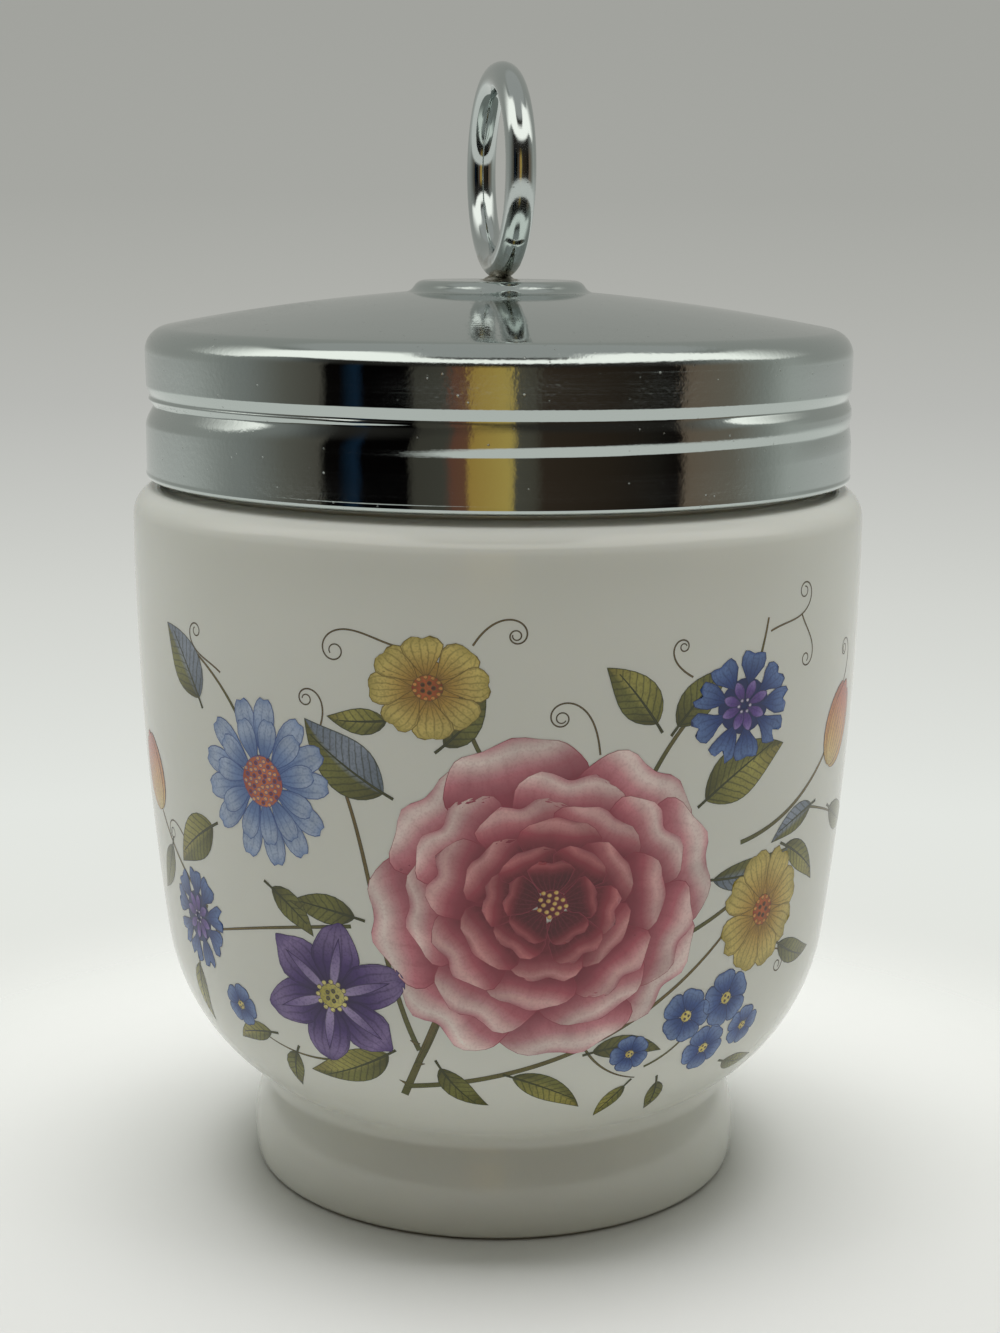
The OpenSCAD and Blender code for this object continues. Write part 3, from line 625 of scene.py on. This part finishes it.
relief = add(tree, "Bump", {"Height": grain, "Strength": 0.4, "Distance": 0.00006}).outputs[0]
tree.links.new(relief, shader.inputs["Normal"])
seal.data.materials.append(rubber)
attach(seal, "seal")
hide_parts("sealing_ring")

# ---------------------------------------------------------------- lid
# Pressed from one sheet of steel half a millimetre thick: domed crown with a raised boss,
# skirt with a level bead and a rolled thread, edge curled into a hem; then nickelled and
# chromed. The thread starts at the front left, deepens by way of the right and the back, and
# meets the bead at the left.

HEM_Z, HEM_D, HEM_PROUD = 63.4, 0.84, 0.1
BOSS_R, BOSS_H, BOSS_ROUND = 8.5, 1.07, 1.1
BEAD_Z, BEAD_DEPTH, BEAD_UP, BEAD_DOWN = 70.6, 0.37, 0.85, 1.0
GROOVE_START, GROOVE_SWEEP, GROOVE_Z, GROOVE_DEPTH = -125.0, 420.0, 67.6, 0.74
GROOVE_UP, GROOVE_DOWN, RUN_OUT = 0.9, 1.7, 110.0
SWELL, SWELL_Z, SWELL_FADE = 0.05, 69.6, 3.4
boss_foot_z = crown_c[1] + math.sqrt(CROWN_R ** 2 - (BOSS_R - crown_c[0]) ** 2)
boss_a = math.degrees(math.acos(1 - BOSS_H / (2 * BOSS_ROUND)))
boss_top_r = BOSS_R - 2 * BOSS_ROUND * math.sin(math.radians(boss_a))
boss_top_z = boss_foot_z + BOSS_H


def top_profile(t, step):
    """Corner, crown and boss of the lid, t mm below its outer surface, from the skirt to the
    axis: a corner arc, a long flat arc, and two small arcs up the side of the boss."""
    return np.concatenate([
        arc(corner_c, CORNER_R - t, 0, 90 - CROWN_SLOPE, 0.2 * step),
        arc(crown_c, CROWN_R - t, 90 - CROWN_SLOPE, crown_angle(BOSS_R, t), 1.1 * step)[1:],
        arc([BOSS_R, boss_foot_z + BOSS_ROUND], BOSS_ROUND + t, -90, -90 - boss_a, 0.13 * step)[1:],
        arc([boss_top_r, boss_top_z - BOSS_ROUND], BOSS_ROUND - t, 90 - boss_a, 90, 0.13 * step)[1:],
        line([boss_top_r, boss_top_z - t], [0, boss_top_z - t], 0.9 * step)[1:],
        [[0, boss_top_z - t]],
    ])


def rolled_depth(angle, z):
    """How deep the bead and the thread are rolled in at an angle (degrees) and height. Each
    groove's depth falls off as (1 - q)^1.5 from its crease, q being the distance over the
    width of that flank; where they meet, the deeper one counts, with a soft seam. The bead is
    rolled less deep, and with a longer lower flank, in the 40 degrees about the front."""
    def fall(away, up, down):
        q = np.sqrt(away ** 2 + 0.12 ** 2) / np.where(away > 0, up, down)
        return np.clip(1 - q, 0, 1) ** 1.5

    whole = soft((np.abs((angle + 262) % 360 - 180) - 18) / 14)
    bead = BEAD_DEPTH * (0.6 + 0.4 * whole) * fall(z - BEAD_Z, BEAD_UP, BEAD_DOWN + 0.5 * (1 - whole))
    thread = np.zeros_like(bead)
    for lap in (0, 360):
        turned = (angle - GROOVE_START) % 360 + lap
        full = 0.15 * soft((turned - 6) / 45) + 0.85 * soft((turned - 55) / 220)
        full = full * soft((GROOVE_SWEEP - turned) / RUN_OUT)
        crease = GROOVE_Z + PITCH * turned / 360
        thread = np.maximum(thread, GROOVE_DEPTH * full * fall(z - crease, GROOVE_UP, GROOVE_DOWN))
    near = np.maximum(0.06 - np.abs(bead - thread), 0) / 0.06
    both = np.minimum(bead, thread) > 0
    return np.maximum(bead, thread) + np.where(both, near ** 2 * 0.015, 0)


hem_c = np.array([SKIRT_R + HEM_PROUD - HEM_D / 2, HEM_Z + HEM_D / 2])
in_a = math.degrees(math.acos((SKIRT_R - SHEET - hem_c[0]) / (HEM_D / 2)))
out_a = math.degrees(math.acos((SKIRT_R + 0.05 - hem_c[0]) / (HEM_D / 2)))
hem = arc(hem_c, HEM_D / 2, in_a, 360 + out_a, 0.14)
inside = line([SKIRT_R - SHEET, CORNER_Z], [SKIRT_R - SHEET, hem[0, 1]], 0.16)
face = line([SKIRT_R, hem[-1, 1]], [SKIRT_R, CORNER_Z], 0.085)[1:]
sheet_line = np.concatenate([top_profile(SHEET, 1.5)[::-1][:-1], inside, hem, face, top_profile(0, 1)])
is_skirt = np.zeros(len(sheet_line))
first = len(top_profile(SHEET, 1.5)) - 1
is_skirt[first:first + len(inside)] = 1
is_skirt[first + len(inside) + len(hem):first + len(inside) + len(hem) + len(face)] = 2
turns = np.linspace(0, 2 * math.pi, 320, endpoint=False)
radius = np.repeat(sheet_line[:, :1], len(turns), axis=1)
height = np.repeat(sheet_line[:, 1:], len(turns), axis=1)
kind = np.repeat(is_skirt[:, None], len(turns), axis=1)
depth = rolled_depth(np.degrees(turns) * np.ones_like(height), height)
swell = SWELL * np.tanh(SWELL_Z - height) * soft((CORNER_Z - height) / SWELL_FADE)
dents = 0.006 * np.sin(3 * turns + 0.6) + 0.004 * np.sin(7 * turns + 2 + 0.4 * height)
radius = np.where(kind > 0, radius - depth, radius) + np.where(kind > 1, swell + dents, 0)
lid = closed_turning("lid_chrome", radius, height, turns)

# Bright chrome on nickel: a mirror that shows the press's faint ripples, about a centimetre
# long. It is hazed by years of scouring (hairline scratches round the axis, 0.1 mm apart),
# crazed in patches, 0.4 mm apart, and dotted there with pits 0.1 mm across where the plating
# has let water through.


def chrome(name, tone, haze, pits, ripple):
    """Worn chrome plate in a tone, with a base roughness and strengths of pits and ripple."""
    material, tree, shader = finish_of(name, Metallic=1.0)
    place = add(tree, "TexCoord").outputs["Object"]
    patch = add(tree, "TexNoise", {"Vector": place, "Scale": 40, "Detail": 4}).outputs[0]
    axes = add(tree, "SeparateXYZ", {0: place})
    flat = add(tree, "CombineXYZ", {0: axes.outputs["X"], 1: axes.outputs["Y"]}).outputs[0]
    out = add(tree, "VectorMath", {0: flat}, operation="LENGTH").outputs["Value"]
    lathe = add(tree, "CombineXYZ", {0: out, 1: axes.outputs["Z"]}).outputs[0]
    rings = add(tree, "TexNoise", {"Vector": lathe, "Scale": 9000, "Detail": 2}).outputs[0]
    hairs = add(tree, "MapRange", {0: rings, 1: 0.45, 2: 0.75, 3: 0.0, 4: 0.04}).outputs[0]
    cloudy = add(tree, "MapRange", {0: patch, 1: 0.42, 2: 0.66, 3: haze, 4: haze * 4}).outputs[0]
    rough = add(tree, "Math", {0: cloudy, 1: hairs}, operation="ADD").outputs[0]
    cells = add(tree, "TexVoronoi", {"Vector": place, "Scale": 2600})
    chance = add(tree, "SeparateXYZ", {0: cells.outputs["Color"]}).outputs[0]
    likely = add(tree, "Math", {0: patch, 1: 0.22, 2: chance}, operation="MULTIPLY_ADD").outputs[0]
    few = add(tree, "MapRange", {0: likely, 1: 1.07, 2: 1.09}).outputs[0]
    hole = add(tree, "MapRange", {0: cells.outputs["Distance"], 1: 0.3, 2: 0.1}).outputs[0]
    pit = add(tree, "Math", {0: few, 1: hole}, operation="MULTIPLY").outputs[0]
    deep = add(tree, "Math", {0: pit, 1: pits}, operation="MULTIPLY").outputs[0]
    dull = add(tree, "Mix", {0: deep, 6: hex_rgb(tone), 7: hex_rgb("#6d6a64")},
               data_type="RGBA").outputs[2]
    tree.links.new(dull, shader.inputs["Base Color"])
    pitted = add(tree, "Math", {0: rough, 1: deep}, operation="ADD").outputs[0]
    tree.links.new(pitted, shader.inputs["Roughness"])
    waves = add(tree, "TexNoise", {"Vector": place, "Scale": 160, "Detail": 1}).outputs[0]
    crazed = add(tree, "TexNoise", {"Vector": place, "Scale": 2400, "Detail": 2}).outputs[0]
    old = add(tree, "MapRange", {0: patch, 1: 0.46, 2: 0.66, 3: 0.3 * pits, 4: 2.6 * pits}).outputs[0]
    wavy = add(tree, "Bump", {"Height": waves, "Strength": ripple, "Distance": 0.0001}).outputs[0]
    relief = {"Height": crazed, "Strength": old, "Distance": 0.00002, "Normal": wavy}
    relief = {"Height": rings, "Strength": 0.05, "Distance": 0.00001,
              "Normal": add(tree, "Bump", relief).outputs[0]}
    relief = {"Height": pit, "Strength": pits, "Distance": 0.00002,
              "Normal": add(tree, "Bump", relief).outputs[0]}
    tree.links.new(add(tree, "Bump", relief, invert=True).outputs[0], shader.inputs["Normal"])
    return material


lid.data.materials.append(chrome("worn chrome plate", "#bfc7c5", 0.035, 0.35, 0.25))
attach(lid, "lid")
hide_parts("lid_shell")

# ---------------------------------------------------------------- lifting ring
# Round steel wire, 2.6 mm thick, bent to a closed ring, chromed, and brazed upright on the
# boss. It stands nearly edge-on to the front.

RING_R, WIRE_R, RING_TURN, RING_LIFT = 8.0, 1.3, -77.5, 0.1
ring_z = boss_top_z + RING_LIFT + RING_R + WIRE_R
level = np.array([math.cos(math.radians(RING_TURN)), math.sin(math.radians(RING_TURN)), 0])
side_on = np.array([-level[1], level[0], 0])
up = np.array([0, 0, 1.0])
wind, round_wire = np.meshgrid(np.linspace(0, 2 * math.pi, 160, endpoint=False),
                               np.linspace(0, 2 * math.pi, 40, endpoint=False))
out = RING_R + WIRE_R * np.cos(round_wire)
loop = (out * np.cos(wind))[..., None] * level + (out * np.sin(wind))[..., None] * up
loop = loop - (WIRE_R * np.sin(round_wire))[..., None] * side_on + np.array([0, 0, ring_z])
ring = ring_surface("ring_chrome", loop)
wire = chrome("chromed wire", "#c3cac9", 0.03, 0.1, 0.1)
tree = wire.node_tree
shader = tree.nodes["Principled BSDF"]
# The plating over the joint is thin: heat and braze have left a faint, rough stain there.
place = add(tree, "TexCoord").outputs["Object"]
tall = add(tree, "SeparateXYZ", {0: place}).outputs["Z"]
ragged = add(tree, "TexNoise", {"Vector": place, "Scale": 900, "Detail": 3}).outputs[0]
uneven = add(tree, "Math", {0: ragged, 1: 0.003, 2: tall}, operation="MULTIPLY_ADD").outputs[0]
low = (boss_top_z + 2.9) / 1000
stain = add(tree, "MapRange", {0: uneven, 1: low, 2: low + 0.0008, 3: 0.45, 4: 0.0}).outputs[0]
plated = shader.inputs["Base Color"].links[0].from_socket
stained = add(tree, "Mix", {0: stain, 6: plated, 7: hex_rgb("#8f8674")}, data_type="RGBA").outputs[2]
tree.links.new(stained, shader.inputs["Base Color"])
smooth = shader.inputs["Roughness"].links[0].from_socket
burnt = add(tree, "MapRange", {0: stain, 3: 0.0, 4: 0.35}).outputs[0]
rough = add(tree, "Math", {0: smooth, 1: burnt}, operation="ADD").outputs[0]
tree.links.new(rough, shader.inputs["Roughness"])
ring.data.materials.append(wire)
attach(ring, "lid")
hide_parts("lifting_ring")

# ---------------------------------------------------------------- braze
# A small lumpy fillet of brass where the ring meets the boss, run in by hand with a torch
# and left as it froze, so it is rough and tarnished.

BRAZE_ALONG, BRAZE_ACROSS, BRAZE_H = 2.9, 1.7, 1.25
turns = np.linspace(0, 2 * math.pi, 96, endpoint=False)
turned = turns - math.radians(RING_TURN)
oval = 1 / np.sqrt((np.cos(turned) / BRAZE_ALONG) ** 2 + (np.sin(turned) / BRAZE_ACROSS) ** 2)
oval = oval + 0.12 * np.sin(5 * turned + 1) + 0.07 * np.sin(9 * turned)
share = np.concatenate([[0, 0.5], 1 - np.linspace(0, 1, 26) ** 1.2])[:, None]
rise = BRAZE_H * (1 - share) ** 1.7 + 0.2 * np.sin(17 * share + 4 * turned) * share * (1 - share)
rise[:2] = -0.03
rise[2] = 0.0
braze = closed_turning("braze_brass", share * oval, boss_top_z + rise, turns)
brass, tree, shader = finish_of("tarnished braze", Metallic=0.9, Roughness=0.42)
place = add(tree, "TexCoord").outputs["Object"]
tarnish = add(tree, "TexNoise", {"Vector": place, "Scale": 900, "Detail": 4}).outputs[0]
blend = add(tree, "MapRange", {0: tarnish, 1: 0.35, 2: 0.65}).outputs[0]
worn = add(tree, "Mix", {0: blend, 6: hex_rgb("#bab9b0"), 7: hex_rgb("#8b8677")},
           data_type="RGBA").outputs[2]
tree.links.new(worn, shader.inputs["Base Color"])
lumps = add(tree, "TexNoise", {"Vector": place, "Scale": 1600, "Detail": 3}).outputs[0]
relief = add(tree, "Bump", {"Height": lumps, "Strength": 0.6, "Distance": 0.0001}).outputs[0]
tree.links.new(relief, shader.inputs["Normal"])
braze.data.materials.append(brass)
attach(braze, "lid")
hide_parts("ring_braze")

# ---------------------------------------------------------------- table and light
# A pale matt table, lit by a large soft box overhead, that melts into a grey backdrop
# with painted shade.
# The room in front is dark, as it is behind a camera, and the sides are pale grey walls.

TABLE_R, TABLE_DROP, FADE_FROM, FADE_TO = 0.3, 0.00002, 0.03, 0.088
bpy.ops.mesh.primitive_circle_add(vertices=96, radius=TABLE_R, fill_type="TRIFAN",
                                  location=(0, 0, -TABLE_DROP))
table = bpy.context.object
table.name = "table"
paper, tree, shader = finish_of("pale table", Roughness=0.85)
shader.inputs["Base Color"].default_value = hex_rgb("#e6e7e4")
place = add(tree, "TexCoord").outputs["Object"]
away = add(tree, "VectorMath", {0: place}, operation="LENGTH").outputs["Value"]
gone = add(tree, "MapRange", {0: away, 1: FADE_FROM, 2: FADE_TO},
           interpolation_type="SMOOTHSTEP").outputs[0]
clear = add(tree, "BsdfTransparent").outputs[0]
seen = add(tree, "MixShader", {0: gone, 1: shader.outputs[0], 2: clear}).outputs[0]
tree.links.new(seen, tree.nodes["Material Output"].inputs["Surface"])
table.data.materials.append(paper)

world = bpy.data.worlds.new("studio")
bpy.context.scene.world = world
world.use_nodes = True
tree = world.node_tree
way = add(tree, "SeparateXYZ", {0: add(tree, "TexCoord").outputs["Generated"]})
climb = add(tree, "Math", {0: way.outputs["Z"], 1: 0.5}, operation="ADD").outputs[0]
front = add(tree, "Math", {0: way.outputs["Y"], 1: -1.0}, operation="MULTIPLY").outputs[0]
bearing = add(tree, "Math", {0: way.outputs["X"], 1: front}, operation="ARCTAN2").outputs[0]
lap = add(tree, "Math", {0: bearing, 1: 1 / (2 * math.pi), 2: 0.5}, operation="MULTIPLY_ADD").outputs[0]
# The backdrop by height, with painted shade: palest some 15 to 20 degrees below level,
# greyer down towards the table and darker above; and what stands round the room by degrees
# to the right of straight in front.
backdrop_shade_by_height = [(0.068, "#cfd0cb"), (0.106, "#d9dad4"), (0.168, "#e4e6e0"), (0.251, "#e3e6e1"),
           (0.338, "#d2d4cf"), (0.425, "#b8b9b5"), (0.47, "#afb0ab"), (0.515, "#a6a7a2"),
           (0.589, "#a2a39e")]
degrees = [(-110, "#a3a5a0"), (-86, "#898b87"), (-70, "#6a6860"), (-57, "#57534b"), (-55.5, "#0b0a09"),
           (-50, "#0a0706"), (-48.5, "#0e1a25"), (-44.5, "#16283a"), (-42.5, "#050404"),
           (-28, "#050404"), (-26, "#47443c"), (-16, "#4c4a42"), (-14, "#6e4a3c"), (-9.5, "#74503c"),
           (-8.5, "#b08e48"), (4, "#c2a85a"), (5, "#56534a"), (11, "#504c42"), (14, "#3a3027"),
           (34, "#302820"), (50, "#211e1a"), (56, "#14110f"), (58.5, "#0c0b0a"), (60, "#766657"),
           (78, "#787166"), (92, "#92948e"), (105, "#b3b6b0")]
shades = []
for fac, stops in [(climb, backdrop_shade_by_height), (lap, [(0.5 + a / 360, code) for a, code in degrees])]:
    made = add(tree, "ValToRGB", {0: fac})
    while len(made.color_ramp.elements) < len(stops):
        made.color_ramp.elements.new(0.5)
    for element, (position, code) in zip(made.color_ramp.elements, stops):
        element.position = position
        element.color = hex_rgb(code)
    shades.append(made.outputs[0])
backdrop, room = shades
wall = add(tree, "Math", {0: bearing}, operation="ABSOLUTE").outputs[0]
up = way.outputs["Z"]
smooth = {"interpolation_type": "SMOOTHSTEP"}
mixed = {"data_type": "RGBA"}
# Higher up the room fades: to dark in front, and to grey on either side.
behind = add(tree, "MapRange", {0: wall, 1: 1.6, 2: 2.2}, **smooth).outputs[0]
high = add(tree, "MapRange", {0: up, 1: 0.16, 2: 0.4}, **smooth).outputs[0]
beside = add(tree, "MapRange", {0: wall, 1: 0.9, 2: 1.5}, **smooth).outputs[0]
upper = add(tree, "Mix", {0: beside, 6: hex_rgb("#2e2c29"), 7: hex_rgb("#8f918d")}, **mixed).outputs[2]
faded = add(tree, "Mix", {0: high, 6: room, 7: upper}, **mixed).outputs[2]
around = add(tree, "Mix", {0: behind, 6: faded, 7: backdrop}, **mixed).outputs[2]
under = add(tree, "MapRange", {0: up, 1: -0.14, 2: -0.2}).outputs[0]
lower = add(tree, "Mix", {0: under, 6: around, 7: hex_rgb("#dfe0db")}, **mixed).outputs[2]
over = add(tree, "MapRange", {0: up, 1: 0.76, 2: 0.84}, **smooth).outputs[0]
mirrored = add(tree, "Mix", {0: over, 6: lower, 7: hex_rgb("#b0b1ae")}, **mixed).outputs[2]
rays = add(tree, "LightPath")
seen = rays.outputs["Is Camera Ray"]
shown = add(tree, "Mix", {0: seen, 6: mirrored, 7: backdrop}, **mixed).outputs[2]
# Mirrors see the bright pane itself: 29 to 48 degrees up straight in front, and up to 70 on
# either side. Towards its ends it sinks to between 14 and 48 degrees, and fades.
sink = add(tree, "MapRange", {0: wall, 1: 1.2, 2: 1.8}, **smooth).outputs[0]
sill = add(tree, "MapRange", {0: sink, 3: 0.46, 4: 0.24}).outputs[0]
lintel = add(tree, "MapRange", {0: wall, 1: 0.3, 2: 0.9, 3: 0.76, 4: 0.95}, **smooth).outputs[0]
head = add(tree, "MapRange", {0: sink, 3: lintel, 4: 0.76}).outputs[0]
above = add(tree, "Math", {0: up, 1: sill}, operation="SUBTRACT").outputs[0]
below = add(tree, "Math", {0: head, 1: up}, operation="SUBTRACT").outputs[0]
bottom = add(tree, "MapRange", {0: above, 1: 0.0, 2: 0.08}, **smooth).outputs[0]
top = add(tree, "MapRange", {0: below, 1: 0.0, 2: 0.1}, **smooth).outputs[0]
ends = add(tree, "MapRange", {0: wall, 1: 2.2, 2: 1.5}, **smooth).outputs[0]
tall = add(tree, "Math", {0: bottom, 1: top}, operation="MULTIPLY").outputs[0]
pane = add(tree, "Math", {0: tall, 1: ends}, operation="MULTIPLY").outputs[0]
lit = add(tree, "Math", {0: pane, 1: rays.outputs["Is Glossy Ray"]}, operation="MULTIPLY").outputs[0]
final = add(tree, "Mix", {0: lit, 6: shown, 7: hex_rgb("#fffdf6")}, **mixed).outputs[2]
strength = add(tree, "MapRange", {0: lit, 3: 1.0, 4: 1.5}).outputs[0]
tree.links.new(final, tree.nodes["Background"].inputs["Color"])
tree.links.new(strength, tree.nodes["Background"].inputs["Strength"])

lamp = bpy.data.lights.new("soft_box", "AREA")
lamp.shape, lamp.size, lamp.size_y, lamp.energy = "RECTANGLE", 0.6, 0.42, 6.0
soft_box = bpy.data.objects.new("soft_box", lamp)
bpy.context.scene.collection.objects.link(soft_box)
soft_box.location = (0, 0.05, 0.74)
soft_box.visible_glossy = False

# ---------------------------------------------------------------- camera
# Held 200 mm from the axis, a little above the lid, and tipped 11 degrees down.

camera = bpy.data.objects.new("camera", bpy.data.cameras.new("camera"))
bpy.context.scene.collection.objects.link(camera)
camera.data.lens = 60.33
camera.data.sensor_width = 36.0
camera.data.clip_start = 0.01
camera.location = (0, -0.2, 0.0847)
camera.rotation_euler = (math.radians(90 - 11.03), math.radians(-0.4), 0)
bpy.context.scene.camera = camera
bpy.context.scene.view_settings.view_transform = "Standard"
